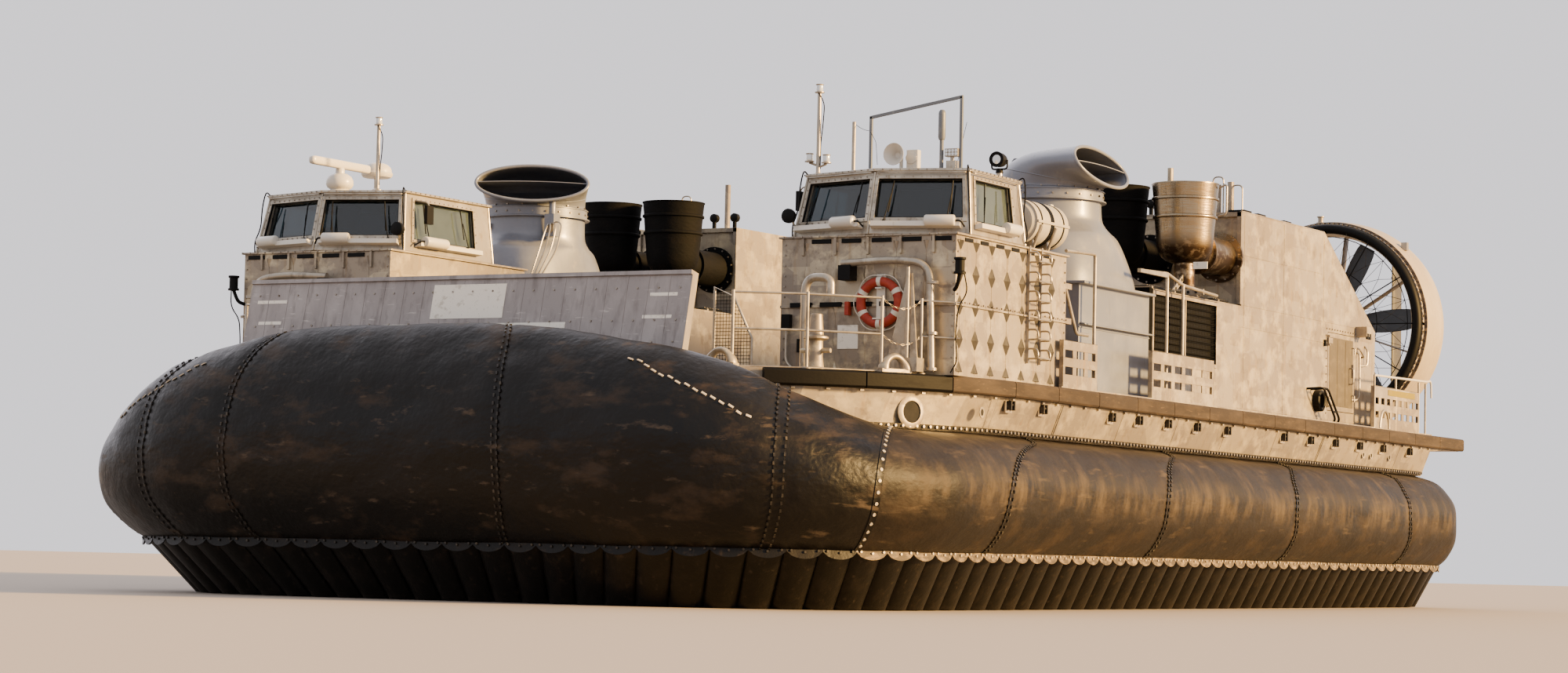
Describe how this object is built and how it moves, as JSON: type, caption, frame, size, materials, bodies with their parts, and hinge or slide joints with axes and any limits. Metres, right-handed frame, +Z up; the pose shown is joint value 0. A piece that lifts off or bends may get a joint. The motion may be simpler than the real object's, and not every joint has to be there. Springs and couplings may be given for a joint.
{
  "type": "landing hovercraft",
  "caption": "Open-deck landing hovercraft on an inflated skirt, with cabins, lift fan housings, turning bow thrusters, exhausts, ducted propellers, rudders, and ramps at both ends.",
  "frame": {"origin": "on the floor under the middle of the craft's bounding box, at the hem of the skirt fingers", "axes": "+Z up, -Y towards the bow, +Y towards the stern, +X to port"},
  "size_m": [14.6, 28.08, 7.87],
  "materials": {
    "bare_aluminium": "weathered bare marine aluminium, stained and dusty",
    "deck_grey": "grey non-slip deck paint",
    "housing_grey": "semi-gloss dark grey paint",
    "skirt_rubber": "rubber-coated fabric with dried mud",
    "fender_rubber": "matt rubber strip",
    "soot_black": "sooty heat-resistant black",
    "stainless": "heat-tinted stainless sheet",
    "cabin_glass": "dark laminated window glass",
    "black_blade": "black composite blade",
    "white_paint": "white gloss paint",
    "raft_shell": "white moulded glass fibre",
    "orange_ring": "orange fabric-covered foam",
    "interior": "dark grey cabin fittings"
  },
  "bodies": {
    "craft": {"hull": "deck_grey", "side_deck_port": "bare_aluminium", "side_deck_starboard": "bare_aluminium", "fender_port": "fender_rubber", "fender_starboard": "fender_rubber", "bag_bow": "skirt_rubber", "bag_port": "skirt_rubber", "bag_starboard": "skirt_rubber", "bag_stern": "skirt_rubber", "fingers_bow": "skirt_rubber", "fingers_port": "skirt_rubber", "fingers_starboard": "skirt_rubber", "fingers_stern": "skirt_rubber", "tower_port": "bare_aluminium", "tower_starboard": "bare_aluminium", "cabin_port": "bare_aluminium", "cabin_starboard": "bare_aluminium", "cabin_glass_port": "cabin_glass", "cabin_glass_starboard": "cabin_glass", "cabin_fittings_port": "interior", "cabin_fittings_starboard": "interior", "fan_housing_port": "housing_grey", "fan_housing_starboard": "housing_grey", "intake_house_port": "bare_aluminium", "intake_house_starboard": "bare_aluminium", "exhaust_outboard_port": "stainless", "exhaust_inboard_port": "soot_black", "exhaust_outboard_starboard": "soot_black", "exhaust_inboard_starboard": "soot_black", "engine_house_port": "bare_aluminium", "engine_house_starboard": "bare_aluminium", "duct_port": "bare_aluminium", "duct_starboard": "bare_aluminium", "life_raft_port": "raft_shell", "life_raft_starboard": "raft_shell", "rails_bow_port": "bare_aluminium", "rails_bow_starboard": "bare_aluminium", "rails_side_port": "bare_aluminium", "rails_side_starboard": "bare_aluminium", "radar_pedestal": "white_paint", "mast_port": "bare_aluminium", "mast_starboard": "bare_aluminium", "roof_gear_port": "white_paint", "radome": "white_paint", "life_ring": "orange_ring"},
    "bow_ramp": {"bow_ramp": "bare_aluminium"},
    "stern_ramp": {"stern_ramp": "bare_aluminium"},
    "thruster_port": {"thruster_port": "housing_grey"},
    "thruster_starboard": {"thruster_starboard": "housing_grey"},
    "propeller_port": {"propeller_port": "black_blade"},
    "propeller_starboard": {"propeller_starboard": "black_blade"},
    "rudder_inboard_port": {"rudder_inboard_port": "bare_aluminium"},
    "rudder_outboard_port": {"rudder_outboard_port": "bare_aluminium"},
    "rudder_inboard_starboard": {"rudder_inboard_starboard": "bare_aluminium"},
    "rudder_outboard_starboard": {"rudder_outboard_starboard": "bare_aluminium"},
    "house_door_port": {"house_door_port": "bare_aluminium"},
    "house_door_starboard": {"house_door_starboard": "bare_aluminium"},
    "radar_scanner": {"radar_scanner": "white_paint"}
  },
  "joints": [
    {"name": "bow_ramp_hinge", "type": "hinge", "parent": "craft", "child": "bow_ramp", "pos_m": [0, -12.75, 2.6303], "axis": [1, 0, 0], "range_deg": [0, 115], "deforming": ["bag_bow"]},
    {"name": "stern_ramp_hinge", "type": "hinge", "parent": "craft", "child": "stern_ramp", "pos_m": [0, 12.27, 2.6303], "axis": [1, 0, 0], "range_deg": [-110, 0]},
    {"name": "thruster_port_turn", "type": "hinge", "parent": "craft", "child": "thruster_port", "pos_m": [4.97, -2.78, 6.7603], "axis": [0, 0, 1], "continuous": true},
    {"name": "thruster_starboard_turn", "type": "hinge", "parent": "craft", "child": "thruster_starboard", "pos_m": [-4.97, -2.78, 6.7603], "axis": [0, 0, 1], "continuous": true},
    {"name": "propeller_port_spin", "type": "hinge", "parent": "craft", "child": "propeller_port", "pos_m": [4.33, 12.5, 5.64], "axis": [0, 1, 0], "continuous": true},
    {"name": "propeller_starboard_spin", "type": "hinge", "parent": "craft", "child": "propeller_starboard", "pos_m": [-4.33, 12.5, 5.64], "axis": [0, 1, 0], "continuous": true},
    {"name": "rudder_inboard_port_turn", "type": "hinge", "parent": "craft", "child": "rudder_inboard_port", "pos_m": [3.33, 13.56, 5.64], "axis": [0, 0, 1], "range_deg": [-30, 30]},
    {"name": "rudder_outboard_port_turn", "type": "hinge", "parent": "craft", "child": "rudder_outboard_port", "pos_m": [5.33, 13.56, 5.64], "axis": [0, 0, 1], "range_deg": [-30, 30]},
    {"name": "rudder_inboard_starboard_turn", "type": "hinge", "parent": "craft", "child": "rudder_inboard_starboard", "pos_m": [-3.33, 13.56, 5.64], "axis": [0, 0, 1], "range_deg": [-30, 30]},
    {"name": "rudder_outboard_starboard_turn", "type": "hinge", "parent": "craft", "child": "rudder_outboard_starboard", "pos_m": [-5.33, 13.56, 5.64], "axis": [0, 0, 1], "range_deg": [-30, 30]},
    {"name": "house_door_port_hinge", "type": "hinge", "parent": "craft", "child": "house_door_port", "pos_m": [6.23, 7.22, 4.405], "axis": [0, 0, -1], "range_deg": [0, 105]},
    {"name": "house_door_starboard_hinge", "type": "hinge", "parent": "craft", "child": "house_door_starboard", "pos_m": [-6.23, 7.22, 4.405], "axis": [0, 0, 1], "range_deg": [0, 105]},
    {"name": "radar_scanner_spin", "type": "hinge", "parent": "craft", "child": "radar_scanner", "pos_m": [-5.1, -8.45, 6.805], "axis": [0, 0, 1], "continuous": true}
  ],
  "couplings": [
    {"joint": "rudder_outboard_port_turn", "follows": "rudder_inboard_port_turn", "ratio": 1},
    {"joint": "rudder_inboard_starboard_turn", "follows": "rudder_inboard_port_turn", "ratio": 1},
    {"joint": "rudder_outboard_starboard_turn", "follows": "rudder_inboard_port_turn", "ratio": 1}
  ]
}
